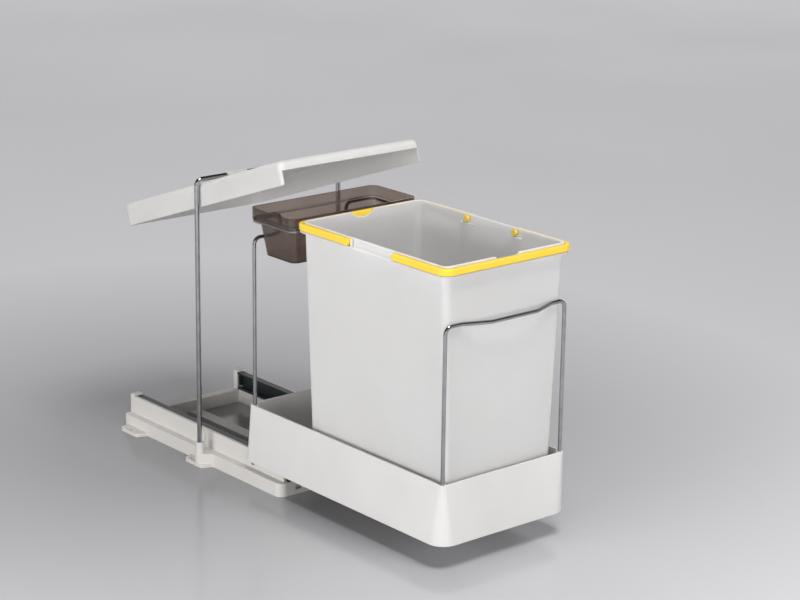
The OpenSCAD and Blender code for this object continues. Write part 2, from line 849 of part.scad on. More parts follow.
base_frame();
mirror([1, 0, 0]) outer_rail();  // left_outer_rail
outer_rail();  // right_outer_rail
mirror([1, 0, 0]) rail_screws();  // left_rail_screws
rail_screws();  // right_rail_screws
mirror([1, 0, 0]) rail_buffer();  // left_rail_buffer
rail_buffer();  // right_rail_buffer
lid_frame();
lid();
mirror([1, 0, 0]) ball_cage();  // left_ball_cage
ball_cage();  // right_ball_cage
mirror([1, 0, 0]) balls();  // left_balls
balls();  // right_balls
carrier();
mirror([1, 0, 0]) inner_rail();  // left_inner_rail
inner_rail();  // right_inner_rail
mirror([1, 0, 0]) inner_rail_screws();  // left_inner_rail_screws
inner_rail_screws();  // right_inner_rail_screws
front_hoop();
rear_hoop();
bin();
front_handle();
handle_pins(front_pivot_y);  // front_handle_pins
rear_handle();
handle_pins(rear_pivot_y);  // rear_handle_pins
tray();
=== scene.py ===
# %% [markdown]
# This lesson dresses a pull-out waste unit for a kitchen cabinet: a moulded base with ball slides,
# a carrier that runs on them, a lift-out bin with two bail handles, a smoky tray, chrome wire hoops
# and a lid on a chrome frame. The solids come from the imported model, in metres, and stay where they
# are. What is added here is finish, light, and the small forms that bent wire and moulding give.

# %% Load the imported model
import math

import bmesh
import bpy
from mathutils import Matrix, Vector


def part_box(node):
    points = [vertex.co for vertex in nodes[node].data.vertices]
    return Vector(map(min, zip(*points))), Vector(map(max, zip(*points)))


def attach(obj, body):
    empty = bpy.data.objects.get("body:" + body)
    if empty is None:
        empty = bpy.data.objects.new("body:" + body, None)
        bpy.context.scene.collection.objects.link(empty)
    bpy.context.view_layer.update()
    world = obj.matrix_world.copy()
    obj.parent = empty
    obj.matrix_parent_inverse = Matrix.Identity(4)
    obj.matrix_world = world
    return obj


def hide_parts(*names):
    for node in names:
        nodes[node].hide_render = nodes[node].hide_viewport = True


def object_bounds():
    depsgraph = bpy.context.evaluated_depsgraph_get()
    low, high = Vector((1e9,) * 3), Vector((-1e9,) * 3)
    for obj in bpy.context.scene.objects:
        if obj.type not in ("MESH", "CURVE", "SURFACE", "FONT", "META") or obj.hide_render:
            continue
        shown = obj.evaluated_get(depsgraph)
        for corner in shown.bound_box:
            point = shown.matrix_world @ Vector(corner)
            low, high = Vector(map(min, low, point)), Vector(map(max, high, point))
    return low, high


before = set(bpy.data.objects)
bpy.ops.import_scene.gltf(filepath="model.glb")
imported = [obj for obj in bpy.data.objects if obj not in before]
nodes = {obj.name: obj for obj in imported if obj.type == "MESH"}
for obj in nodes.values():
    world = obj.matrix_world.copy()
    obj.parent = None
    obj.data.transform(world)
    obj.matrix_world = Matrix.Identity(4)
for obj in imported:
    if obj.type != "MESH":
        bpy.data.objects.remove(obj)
cad_low, cad_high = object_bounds()
MM = 0.001
print("nodes:", len(nodes), "size in mm:", [round(side / MM, 1) for side in cad_high - cad_low])

# %% [markdown]
# The view is a long lens from the front left, a little above the rims. A camera can be aimed with a
# constraint, but plain turns are kept here: first about the upright axis, then down towards the
# part, then a slight roll, so that the numbers can be read and changed one at a time.

# %% Camera at the front left
VIEW_PLACE = (-1.94029, -2.69643, 1.17255)
VIEW_TURN = math.radians(-40.15)
VIEW_DROP = math.radians(16.22)
VIEW_ROLL = math.radians(0.77)
SENSOR_MM, LENS_MM = 36.0, 103.594
bpy.ops.object.select_all(action="DESELECT")
bpy.ops.object.camera_add(location=VIEW_PLACE)
camera = bpy.context.object
camera.name = "long_lens"
aim = Matrix.Rotation(VIEW_TURN, 3, "Z") @ Matrix.Rotation(math.pi / 2 - VIEW_DROP, 3, "X")
camera.rotation_euler = (aim @ Matrix.Rotation(VIEW_ROLL, 3, "Z")).to_euler()
camera.data.sensor_fit = "HORIZONTAL"
camera.data.sensor_width = SENSOR_MM
camera.data.lens = LENS_MM
bpy.context.scene.camera = camera
bpy.context.scene.view_settings.view_transform = "Standard"
print("lens", LENS_MM, "mm, distance", round(camera.location.length, 3), "m")

# %% [markdown]
# Every finish below is drawn from the same few strokes: a noise of a given grain size, a ramp from
# one tone to another, a map from noise to roughness, and a fine relief. Object coordinates are
# used, because the pieces sit at the origin with their place in the mesh, so a grain has the same
# size on every piece. A node group could hold the strokes too, but short helpers keep each finish
# readable.

# %% Strokes that the finishes share
NOISE_LOW, NOISE_HIGH = 0.3, 0.7
EDGE_SAMPLES, BUMP_STRENGTH = 6, 0.5


def start_finish(name):
    """A new material with its tree, its shader and its Object coordinates."""
    finish = bpy.data.materials.new(name)
    finish.use_nodes = True
    tree = finish.node_tree
    place = tree.nodes.new("ShaderNodeTexCoord").outputs["Object"]
    return finish, tree, tree.nodes["Principled BSDF"], place


def grain(tree, place, size_mm, detail):
    """Noise whose spots are about size_mm across."""
    noise = tree.nodes.new("ShaderNodeTexNoise")
    noise.inputs["Scale"].default_value = 1.0 / (size_mm * MM)
    noise.inputs["Detail"].default_value = detail
    tree.links.new(place, noise.inputs["Vector"])
    return noise.outputs[0]


def tones(tree, amount, low, high, start=NOISE_LOW, end=NOISE_HIGH):
    """A ramp from the colour low, up to start, to the colour high, from end on."""
    ramp = tree.nodes.new("ShaderNodeValToRGB")
    first, last = ramp.color_ramp.elements
    first.position, first.color = start, (*low, 1.0)
    last.position, last.color = end, (*high, 1.0)
    tree.links.new(amount, ramp.inputs[0])
    return ramp.outputs["Color"]


def spread(tree, amount, low, high, start=NOISE_LOW, end=NOISE_HIGH):
    """Maps a noise to a span of values, such as roughness."""
    span = tree.nodes.new("ShaderNodeMapRange")
    for socket, value in zip(("From Min", "From Max", "To Min", "To Max"), (start, end, low, high)):
        span.inputs[socket].default_value = value
    tree.links.new(amount, span.inputs["Value"])
    return span.outputs["Result"]


def relief(tree, height, depth_mm, edge_mm):
    """Normals with a fine bump and softened edges, and the softened normals by themselves."""
    edge = tree.nodes.new("ShaderNodeBevel")
    edge.samples = EDGE_SAMPLES
    edge.inputs["Radius"].default_value = edge_mm * MM
    bump = tree.nodes.new("ShaderNodeBump")
    bump.inputs["Strength"].default_value = BUMP_STRENGTH
    bump.inputs["Distance"].default_value = depth_mm * MM
    tree.links.new(height, bump.inputs["Height"])
    tree.links.new(edge.outputs["Normal"], bump.inputs["Normal"])
    return bump.outputs["Normal"], edge.outputs["Normal"]


def lay_on(tree, shader, colour, rough, normal):
    """Gives the shader its colour, its roughness and its relief."""
    for socket, stroke in (("Base Color", colour), ("Roughness", rough), ("Normal", normal)):
        tree.links.new(stroke, shader.inputs[socket])


print("strokes ready: grain, tones, spread, relief")

# %% [markdown]
# The base, the carrier and the lid are injection-moulded polypropylene in warm off-whites. Such a
# wall isn't one colour: the melt leaves slow clouds of tone, the mould's spark-eroded skin scatters
# the shine, and edges that hands and bags rub go paler. An edge can be found on any mesh by
# comparing the rounded normal with the true one, with no need for joined faces. The lid is thin
# enough to let light through, so it scatters light under its surface too.

# %% Moulded off-white plastics
EDGE_FULL, EDGE_NONE = 0.80, 0.985
MIX_FIRST, MIX_SECOND, MIX_RESULT = 6, 7, 2
PLASTIC_IOR, PLASTIC_GLEAM = 1.49, 0.3
SMOOTHER, ROUGHER = 0.05, 0.07


def edge_mask(tree, soft_normal):
    """Runs from 0 on a flat wall to 1 along an edge."""
    true = tree.nodes.new("ShaderNodeNewGeometry")
    match = tree.nodes.new("ShaderNodeVectorMath")
    match.operation = "DOT_PRODUCT"
    tree.links.new(soft_normal, match.inputs[0])
    tree.links.new(true.outputs["Normal"], match.inputs[1])
    return spread(tree, match.outputs["Value"], 1.0, 0.0, EDGE_FULL, EDGE_NONE)


def fade_for_wear_and_painted_light(tree, colour, mask, wear_and_painted_tone):
    """Fades a colour to another tone where the mask is high: wear, and painted light and shade."""
    blend = tree.nodes.new("ShaderNodeMix")
    blend.data_type = "RGBA"
    tree.links.new(mask, blend.inputs["Factor"])
    # The colour sockets share their names with other sockets, so they go by number.
    tree.links.new(colour, blend.inputs[MIX_FIRST])
    blend.inputs[MIX_SECOND].default_value = (*wear_and_painted_tone, 1.0)
    return blend.outputs[MIX_RESULT]


def plastic_wall(shader, milk, reach_mm):
    """A quiet gleam, and light that enters the wall and leaves again about reach_mm away."""
    shader.inputs["IOR"].default_value = PLASTIC_IOR
    shader.inputs["Specular IOR Level"].default_value = PLASTIC_GLEAM
    shader.inputs["Subsurface Weight"].default_value = milk
    shader.inputs["Subsurface Radius"].default_value = (1.0, 1.0, 1.0)
    shader.inputs["Subsurface Scale"].default_value = reach_mm * MM


def moulded_plastic(name, dark, light, wear_and_painted_tone, rough, edge_mm, milk=0.0):
    """Slow clouds of tone, a finely grained skin and paler edges."""
    finish, tree, shader, place = start_finish(name)
    clouds = grain(tree, place, size_mm=110.0, detail=2.0)
    skin = grain(tree, place, size_mm=0.9, detail=4.0)
    normal, soft = relief(tree, skin, depth_mm=0.02, edge_mm=edge_mm)
    colour = fade_for_wear_and_painted_light(tree, tones(tree, clouds, dark, light), edge_mask(tree, soft), wear_and_painted_tone)
    shine = spread(tree, skin, low=rough - SMOOTHER, high=rough + ROUGHER)
    lay_on(tree, shader, colour, shine, normal)
    plastic_wall(shader, milk, reach_mm=5.0)
    return finish


base_plastic = moulded_plastic(
    "base_plastic", dark=(0.70, 0.68, 0.645), light=(0.75, 0.73, 0.70), wear_and_painted_tone=(0.82, 0.81, 0.78),
    rough=0.42, edge_mm=0.7)
carrier_plastic = moulded_plastic(
    "carrier_plastic", dark=(0.72, 0.71, 0.69), light=(0.765, 0.755, 0.735),
    wear_and_painted_tone=(0.84, 0.83, 0.81), rough=0.38, edge_mm=0.9)
lid_plastic = moulded_plastic(
    "lid_plastic", dark=(0.66, 0.652, 0.636), light=(0.71, 0.702, 0.686),
    wear_and_painted_tone=(0.80, 0.795, 0.78), rough=0.38, edge_mm=1.1, milk=0.7)
print("moulded:", [finish.name for finish in (base_plastic, carrier_plastic, lid_plastic)])

# %% [markdown]
# The bin is milky: light that enters its wall leaves again at the rim and on the shaded side, so
# the top edge looks almost white and the inside is never dark. A volume inside the wall would be
# the true way, but it is slow to render. Strong scattering under the surface gives the pale inside,
# and a height ramp on the Object coordinate paints the bright line along the rim: a painted glow.

# %% Milky bin plastic
RIM_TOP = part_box("bin")[1].z
PAINTED_GLOW_BAND = 2.2 * MM


def height_ramp(tree, place, low, high):
    """Runs from 0 at the low height to 1 at the high one."""
    split = tree.nodes.new("ShaderNodeSeparateXYZ")
    tree.links.new(place, split.inputs[0])
    return spread(tree, split.outputs["Z"], 0.0, 1.0, low, high)


def milky_plastic(name):
    """A clouded plastic that scatters light inside, with a painted bright line along its rim."""
    finish, tree, shader, place = start_finish(name)
    clouds = grain(tree, place, size_mm=130.0, detail=2.0)
    skin = grain(tree, place, size_mm=0.8, detail=4.0)
    normal, soft = relief(tree, skin, depth_mm=0.015, edge_mm=0.7)
    body = tones(tree, clouds, low=(0.715, 0.711, 0.696), high=(0.755, 0.752, 0.741))
    edges_worn_and_painted = fade_for_wear_and_painted_light(tree, body, edge_mask(tree, soft), wear_and_painted_tone=(0.76, 0.76, 0.75))
    # Painted glow: the colour turns near white in a band just under the rim, standing in for light.
    glow = height_ramp(tree, place, RIM_TOP - PAINTED_GLOW_BAND, RIM_TOP)
    painted_rim_glow = fade_for_wear_and_painted_light(tree, edges_worn_and_painted, glow, wear_and_painted_tone=(0.87, 0.87, 0.87))
    lay_on(tree, shader, painted_rim_glow, spread(tree, skin, low=0.30, high=0.42), normal)
    plastic_wall(shader, milk=0.85, reach_mm=8.0)
    return finish


bin_plastic = milky_plastic("bin_plastic")
print("rim glows above", round((RIM_TOP - PAINTED_GLOW_BAND) / MM, 1), "mm")

# %% [markdown]
# The handles and their buttons are the same plastic as the base, dyed a warm yellow through and
# through, so the same helper makes it. Dyed mouldings show faint flow marks: the tone drifts
# towards orange in slow clouds, and the worn edges of the grip are a little paler.

# %% Yellow handle plastic
yellow_plastic = moulded_plastic(
    "yellow_plastic", dark=(0.98, 0.660, 0.060), light=(0.99, 0.720, 0.080),
    wear_and_painted_tone=(1.0, 0.80, 0.22), rough=0.33, edge_mm=1.6)
print("handles:", yellow_plastic.name)

# %% [markdown]
# The tray is a see-through smoky styrene. The tint could be a volume, but the walls are thin and
# even, so a tinted transmission gives the same brown with far less noise. At an edge the light
# travels further inside the plastic, so the edges look much darker; here that is painted shade, a
# dark tone painted along the edges. Faint flow lines change the tint a little, and fine scratches
# dull the shine.

# %% Smoky see-through plastic
def smoky_styrene(name):
    """A tinted clear plastic with painted dark edges."""
    finish, tree, shader, place = start_finish(name)
    flow = grain(tree, place, size_mm=60.0, detail=2.0)
    scratches = grain(tree, place, size_mm=1.5, detail=6.0)
    normal, soft = relief(tree, scratches, depth_mm=0.004, edge_mm=0.5)
    tint = tones(tree, flow, low=(0.37, 0.300, 0.257), high=(0.45, 0.372, 0.322))
    # Painted shade: the edges are darkened to near black for the longer path of light through them.
    edges_worn_and_painted = fade_for_wear_and_painted_light(tree, tint, edge_mask(tree, soft), wear_and_painted_tone=(0.06, 0.048, 0.042))
    lay_on(tree, shader, edges_worn_and_painted, spread(tree, scratches, low=0.03, high=0.10), normal)
    shader.inputs["Transmission Weight"].default_value = 0.97
    shader.inputs["IOR"].default_value = 1.45
    return finish


smoky_plastic = smoky_styrene("smoky_plastic")
print("tray:", smoky_plastic.name)

# %% [markdown]
# The rods are bright chrome over steel wire. Chrome is a mirror, so most of its look is what stands
# around it; what the finish adds is a faint haze that comes and goes in the plating, and a slight
# blue. Its tone is set darker than real plating, because this studio is paler all round than a
# room. The balls of the slides are plain polished steel, made by the same helper.

# %% Bright chrome and ball steel
def plated_metal(name, dark, light, haze_low, haze_high, film_mm, depth_mm):
    """A mirror with a faint, uneven film on it."""
    finish, tree, shader, place = start_finish(name)
    film = grain(tree, place, size_mm=film_mm, detail=4.0)
    normal, _ = relief(tree, film, depth_mm, edge_mm=0.3)
    colour = tones(tree, film, dark, light)
    lay_on(tree, shader, colour, spread(tree, film, haze_low, haze_high), normal)
    shader.inputs["Metallic"].default_value = 1.0
    return finish


chrome_wire = plated_metal(
    "chrome_wire", dark=(0.36, 0.363, 0.37), light=(0.46, 0.463, 0.47),
    haze_low=0.02, haze_high=0.05, film_mm=14.0, depth_mm=0.003)
ball_steel = plated_metal(
    "ball_steel", dark=(0.62, 0.62, 0.62), light=(0.70, 0.70, 0.70),
    haze_low=0.08, haze_high=0.16, film_mm=3.0, depth_mm=0.002)
print("bright metals:", chrome_wire.name, ball_steel.name)

# %% [markdown]
# The inner rails, cages and screws are plain zinc. Zinc crystals show as a patchwork of grey cells,
# which a Voronoi texture gives directly. The outer channels are rolled steel with a dark passivated
# coat. It has fine rub marks along its run, which are a noise stretched along Y, and it is paler
# grey at its edges: partly the coat worn through, partly a painted highlight where edges catch light.

# %% Rail steels
CELL_MIDDLE, CELL_BORDER = 0.1, 0.8
ALONG_THE_RUN = (1.0, 0.04, 1.0)


def zinc_plate(name, spangle_mm):
    """Grey metal in crystal cells that are about spangle_mm across."""
    finish, tree, shader, place = start_finish(name)
    cells = tree.nodes.new("ShaderNodeTexVoronoi")
    cells.inputs["Scale"].default_value = 1.0 / (spangle_mm * MM)
    tree.links.new(place, cells.inputs["Vector"])
    patch = cells.outputs["Distance"]
    normal, _ = relief(tree, patch, depth_mm=0.004, edge_mm=0.3)
    colour = tones(
        tree, patch, (0.42, 0.43, 0.44), (0.58, 0.59, 0.60), CELL_MIDDLE, CELL_BORDER)
    rough = spread(tree, patch, 0.28, 0.42, CELL_MIDDLE, CELL_BORDER)
    lay_on(tree, shader, colour, rough, normal)
    shader.inputs["Metallic"].default_value = 1.0
    return finish


def dark_channel(name):
    """A dark coat with rub marks along the rail, and grey edges of wear and painted highlight."""
    finish, tree, shader, place = start_finish(name)
    stretch = tree.nodes.new("ShaderNodeMapping")
    stretch.inputs["Scale"].default_value = ALONG_THE_RUN
    tree.links.new(place, stretch.inputs["Vector"])
    rub = grain(tree, stretch.outputs["Vector"], size_mm=1.2, detail=5.0)
    normal, soft = relief(tree, rub, depth_mm=0.01, edge_mm=0.5)
    coat = tones(tree, rub, low=(0.012, 0.018, 0.019), high=(0.026, 0.036, 0.037))
    # Grey edges: partly the coat worn through, partly a painted highlight along the edges.
    edges_worn_and_painted = fade_for_wear_and_painted_light(tree, coat, edge_mask(tree, soft), wear_and_painted_tone=(0.16, 0.18, 0.18))
    lay_on(tree, shader, edges_worn_and_painted, spread(tree, rub, low=0.34, high=0.48), normal)
    shader.inputs["Metallic"].default_value = 0.10
    return finish


zinc_steel = zinc_plate("zinc_steel", spangle_mm=5.0)
screw_steel = zinc_plate("screw_steel", spangle_mm=1.4)
rail_steel = dark_channel("rail_steel")
print("rails:", zinc_steel.name, screw_steel.name, rail_steel.name)

# %% [markdown]
# The stops at the rear of the channels are moulded rubber: black, matt and slightly dusty. They sit
# deep in the channel, so a short finish is enough: one coarse grain gives the dust and the relief.

# %% Buffer rubber
def dusty_rubber(name):
    """Matt black with a little grey dust."""
    finish, tree, shader, place = start_finish(name)
    dust = grain(tree, place, size_mm=2.5, detail=5.0)
    normal, _ = relief(tree, dust, depth_mm=0.05, edge_mm=0.6)
    colour = tones(tree, dust, low=(0.012, 0.012, 0.012), high=(0.045, 0.044, 0.042))
    lay_on(tree, shader, colour, spread(tree, dust, low=0.68, high=0.85), normal)
    return finish


buffer_rubber = dusty_rubber("buffer_rubber")
print("stops:", buffer_rubber.name)

# %% [markdown]
# Each solid takes its finish by name. A dictionary reads like a cutting list, and a missing name
# stops the script at once, which is safer than a default finish that nobody notices.

# %% Give each solid its finish
finish_of = {
    "base_frame": base_plastic, "carrier": carrier_plastic, "lid": lid_plastic,
    "lid_frame": chrome_wire, "front_hoop": chrome_wire, "rear_hoop": chrome_wire,
    "bin": bin_plastic, "tray": smoky_plastic,
    "front_handle": yellow_plastic, "front_handle_pins": yellow_plastic,
    "rear_handle": yellow_plastic, "rear_handle_pins": yellow_plastic,
}
for side in ("left", "right"):
    finish_of[f"{side}_outer_rail"] = rail_steel
    finish_of[f"{side}_inner_rail"] = zinc_steel
    finish_of[f"{side}_ball_cage"] = zinc_steel
    finish_of[f"{side}_balls"] = ball_steel
    finish_of[f"{side}_rail_screws"] = screw_steel
    finish_of[f"{side}_inner_rail_screws"] = screw_steel
    finish_of[f"{side}_rail_buffer"] = buffer_rubber
for name, solid in nodes.items():
    solid.data.materials.clear()
    solid.data.materials.append(finish_of[name])
print("finished solids:", len(finish_of))

# %% [markdown]
# The front hoop is one length of wire: up from the carrier's corner, across, and bowed forward in
# the middle for the fingers. A curve with a round bevel could draw it, but a wire bender makes it
# from straight runs and turns, and so does this: a circle is extruded along each run and spun round
# each turn, which keeps every bend a true arc of one radius.

# %% A wire bender
WIRE_SIDES, FEWEST_STEPS = 20, 3
BEND_STEP, SMOOTH_UP_TO = math.radians(9), math.radians(40)
MERGE_GAP = 0.01 * MM


def bend_wire(name, wire_d, corners, radii):
    """Round wire along the corner points, with each inner corner turned on its radius."""
    runs = [(b - a).normalized() for a, b in zip(corners, corners[1:])]
    bpy.ops.object.select_all(action="DESELECT")
    bpy.ops.mesh.primitive_circle_add(
        vertices=WIRE_SIDES, radius=wire_d / 2, fill_type="NGON", location=corners[0])
    wire = bpy.context.object
    wire.name = name
    wire.rotation_euler = runs[0].to_track_quat("Z", "Y").to_euler()
    bpy.ops.object.transform_apply(location=True, rotation=True, scale=True)
    bpy.ops.object.mode_set(mode="EDIT")
    bpy.ops.mesh.select_all(action="SELECT")
    at = corners[0]
    for corner, radius, run, turned in zip(corners[1:-1], radii, runs, runs[1:]):
        bend = run.angle(turned)
        tangent = corner - run * radius * math.tan(bend / 2)
        axis = run.cross(turned).normalized()
        centre = tangent + axis.cross(run) * radius
        bpy.ops.mesh.extrude_region_move(TRANSFORM_OT_translate={"value": tangent - at})
        steps = max(FEWEST_STEPS, round(bend / BEND_STEP))
        bpy.ops.mesh.spin(steps=steps, angle=bend, center=centre, axis=-axis)
        at = corner + turned * radius * math.tan(bend / 2)
    bpy.ops.mesh.extrude_region_move(TRANSFORM_OT_translate={"value": corners[-1] - at})
    bpy.ops.mesh.select_all(action="SELECT")
    bpy.ops.mesh.remove_doubles(threshold=MERGE_GAP)
    bpy.ops.mesh.normals_make_consistent(inside=False)
    bpy.ops.object.mode_set(mode="OBJECT")
    bpy.ops.object.shade_smooth_by_angle(angle=SMOOTH_UP_TO)
    return wire


print("wire bender ready, sides:", WIRE_SIDES)

# %% [markdown]
# The hoop's corner points are the ones that the solid follows: legs in the carrier's front corners,
# a level bar, and a bow that stands forward for the fingers. The solid has small beads at the
# slanted corners; the real wire is bent there, so this piece stands for it. The solid's box gives
# the places.

# %% Front hoop with a bowed grip
HOOP_D = 5.5 * MM
GRIP_HALF, SHOULDER_HALF = 40.0 * MM, 79.0 * MM
CORNER_BEND, BOW_BEND = 10.0 * MM, 16.0 * MM
hoop_low, hoop_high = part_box("front_hoop")
leg_x, leg_y = hoop_high.x - HOOP_D / 2, hoop_high.y - HOOP_D / 2
bar_z, bow_y = hoop_high.z - HOOP_D / 2, hoop_low.y + HOOP_D / 2
right_half = [
    Vector((leg_x, leg_y, hoop_low.z)), Vector((leg_x, leg_y, bar_z)),
    Vector((SHOULDER_HALF, leg_y, bar_z)), Vector((GRIP_HALF, bow_y, bar_z)),
]
left_half = [Vector((-point.x, point.y, point.z)) for point in right_half]
half_bends = [CORNER_BEND, BOW_BEND, BOW_BEND]
front_wire = bend_wire(
    "front_wire", HOOP_D, left_half + right_half[::-1], half_bends + half_bends[::-1])
front_wire.data.materials.append(chrome_wire)
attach(front_wire, "carrier")
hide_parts("front_hoop")
print("front wire faces:", len(front_wire.data.polygons), "bar at", round(bar_z / MM, 1), "mm")

# %% [markdown]
# In a window, faces and edges are picked with the mouse. In a script they are picked by where they
# are or which way they face. Picking by number would be shorter, but a number says nothing to a
# reader, and it changes when a step before it does. A point that is almost as far out as the limit
# counts as there, because sums of small lengths are never quite exact.

# %% Picking faces and edges
ALMOST = 0.99


def pick_faces(piece, test):
    """In edit mode, selects the faces that pass the test, and no others."""
    shape = bmesh.from_edit_mesh(piece.data)
    bpy.ops.mesh.select_mode(type="FACE")
    for face in shape.faces:
        face.select_set(test(face))
    bmesh.update_edit_mesh(piece.data)


def pick_edges(piece, test):
    """In edit mode, selects the edges whose two ends both pass the test, and no others."""
    shape = bmesh.from_edit_mesh(piece.data)
    bpy.ops.mesh.select_mode(type="EDGE")
    bpy.ops.mesh.select_all(action="DESELECT")
    for edge in shape.edges:
        edge.select_set(all(test(end.co) for end in edge.verts))
    bmesh.update_edit_mesh(piece.data)


print("picking by place, to within", round(100 * (1 - ALMOST)), "per cent")

# %% [markdown]
# The slides are held by small pan-head screws with a cross recess, which is punched and tapers
# inwards. A Boolean could cut it, but it divides the faces a little differently each time it runs.
# Here the cross is its own small pan: a square, four arms drawn out of its sides, all of it sunk
# and narrowed, and its lid taken off.

# %% Cross recess
HEAD_T = 1.8 * MM
CROSS_T, CROSS_ARM, CROSS_DEEP, CROSS_TAPER = 0.9 * MM, 1.5 * MM, 1.1 * MM, 0.55
FOUR_WAYS = [Vector(way) for way in ((1, 0, 0), (-1, 0, 0), (0, 1, 0), (0, -1, 0))]


def cross_recess():
    """The walls and floor of a tapered cross, open at the top of a screw's head."""
    bpy.ops.object.select_all(action="DESELECT")
    bpy.ops.mesh.primitive_plane_add(size=CROSS_T, location=(0.0, 0.0, HEAD_T))
    recess = bpy.context.object
    bpy.ops.object.transform_apply(location=True, rotation=True, scale=True)
    bpy.ops.object.mode_set(mode="EDIT")
    near, far = CROSS_T / 2 * ALMOST, CROSS_T / 2 / ALMOST
    for way in FOUR_WAYS:
        across = way.yxz
        pick_edges(recess, lambda end: end.dot(way) > near and abs(end.dot(across)) < far)
        bpy.ops.mesh.extrude_region_move(TRANSFORM_OT_translate={"value": way * CROSS_ARM})
    bpy.ops.mesh.select_all(action="SELECT")
    bpy.ops.mesh.extrude_region_move(TRANSFORM_OT_translate={"value": (0.0, 0.0, -CROSS_DEEP)})
    bpy.ops.transform.resize(
        value=(CROSS_TAPER, CROSS_TAPER, 1.0), center_override=(0.0, 0.0, HEAD_T))
    pick_faces(recess, lambda face: face.calc_center_median().z > HEAD_T * ALMOST)
    bpy.ops.mesh.delete(type="FACE")
    bpy.ops.object.mode_set(mode="OBJECT")
    return recess


print("cross recess", round(CROSS_DEEP / MM, 1), "mm deep")

# %% [markdown]
# A maker upsets a screw's head from wire, and this piece goes the same way: a short cylinder is the
# head, the shank is drawn out of its underside and narrowed at its tip, and the top edge is rounded
# over. The flat top is then taken off, the cross is joined in, and the ring between them is filled.
# The screw is modelled once for each length, standing on the origin, and then copied to its places.

# %% A pan-head screw
HEAD_D, HEAD_SIDES, HEAD_ROUND, ROUND_STEPS = 6.8 * MM, 32, 1.1 * MM, 4
SHANK_D, TIP, TIP_TAPER = 3.4 * MM, 1.0 * MM, 0.5
SCREW_SMOOTH = math.radians(35)


def pan_screw(shank):
    """A screw with the underside of its head on the origin and its shank pointing down."""
    recess = cross_recess()
    bpy.ops.object.select_all(action="DESELECT")
    bpy.ops.mesh.primitive_cylinder_add(
        vertices=HEAD_SIDES, radius=HEAD_D / 2, depth=HEAD_T, location=(0.0, 0.0, HEAD_T / 2))
    screw = bpy.context.object
    bpy.ops.object.transform_apply(location=True, rotation=True, scale=True)
    bpy.ops.object.mode_set(mode="EDIT")
    pick_faces(screw, lambda face: face.normal.z < -ALMOST)
    bpy.ops.mesh.inset(thickness=(HEAD_D - SHANK_D) / 2)
    bpy.ops.mesh.extrude_region_move(TRANSFORM_OT_translate={"value": (0.0, 0.0, TIP - shank)})
    bpy.ops.mesh.extrude_region_move(TRANSFORM_OT_translate={"value": (0.0, 0.0, -TIP)})
    bpy.ops.transform.resize(
        value=(TIP_TAPER, TIP_TAPER, 1.0), center_override=(0.0, 0.0, -shank))
    pick_edges(screw, lambda end: end.z > HEAD_T * ALMOST)
    bpy.ops.mesh.bevel(offset=HEAD_ROUND, segments=ROUND_STEPS, affect="EDGES")
    pick_faces(screw, lambda face: face.normal.z > ALMOST)
    bpy.ops.mesh.delete(type="FACE")
    bpy.ops.object.mode_set(mode="OBJECT")
    recess.select_set(True)
    bpy.ops.object.join()
    bpy.ops.object.mode_set(mode="EDIT")
    pick_edges(screw, lambda end: end.z > HEAD_T * ALMOST)
    bpy.ops.mesh.fill()
    bpy.ops.mesh.select_all(action="SELECT")
    bpy.ops.mesh.normals_make_consistent(inside=False)
    bpy.ops.object.mode_set(mode="OBJECT")
    bpy.ops.object.shade_smooth_by_angle(angle=SCREW_SMOOTH)
    return screw


print("screw head", round(HEAD_D / MM, 1), "mm across")

# %% [markdown]
# Copies are set out from a pattern: each copy has its own mesh, takes a place and a turn, and all
# of a row are joined and laid down at the origin. An array modifier would space them too, but plain
# copies can also be turned, which the mouldings further down need. The rows' ends come from the
# boxes of the plain screws that they stand for: two through each side wall, and three in each rib
# of the carrier.

# %% Screw rows
def set_out(pattern, name, places):
    """Copies a pattern to each place and turn, and joins the copies to one piece."""
    bpy.ops.object.select_all(action="DESELECT")
    for where, turn in places:
        twin = pattern.copy()
        twin.data = pattern.data.copy()
        bpy.context.collection.objects.link(twin)
        twin.location, twin.rotation_euler = where, turn
        twin.select_set(True)
    bpy.context.view_layer.objects.active = twin
    bpy.ops.object.join()
    piece = bpy.context.object
    piece.name = name
    bpy.ops.object.transform_apply(location=True, rotation=True, scale=True)
    return piece


def screw_row(name, node, body, count, head_way):
    """Screws along one plain row, with their heads facing head_way along X."""
    low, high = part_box(node)
    pattern = pan_screw(high.x - low.x - HEAD_T)
    seat_x = high.x - HEAD_T if head_way > 0 else low.x + HEAD_T
    turn = Vector((head_way, 0, 0)).to_track_quat("Z", "Y").to_euler()
    first, last = low.y + HEAD_D / 2, high.y - HEAD_D / 2
    steps = [first + (last - first) * i / (count - 1) for i in range(count)]
    row = set_out(pattern, name, [((seat_x, y, (low.z + high.z) / 2), turn) for y in steps])
    bpy.data.objects.remove(pattern)
    row.data.materials.append(screw_steel)
    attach(row, body)
    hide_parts(node)
    return row


rows = [
    screw_row("left_wall_screws", "left_rail_screws", "base", count=2, head_way=-1),
    screw_row("right_wall_screws", "right_rail_screws", "base", count=2, head_way=1),
    screw_row("left_rib_screws", "left_inner_rail_screws", "carrier", count=3, head_way=1),
    screw_row("right_rib_screws", "right_inner_rail_screws", "carrier", count=3, head_way=-1),
]
print("screw rows:", {row.name: len(row.data.polygons) for row in rows})

# %% [markdown]
# Two small mouldings on the bin keep the handles in order. Both are blocks whose free edges are
# rounded, so one helper makes them: a cube at its size, standing out along +X from the origin, with
# a bevel on the edges at its far end. They could be part of the bin's own mesh, but a solid is left
# as it is, so they are pieces of their own that ride on the bin.

# %% A small moulded block
BLOCK_STEPS = 3
NO_TURN, HALF_TURN = (0.0, 0.0, 0.0), (0.0, 0.0, math.pi)


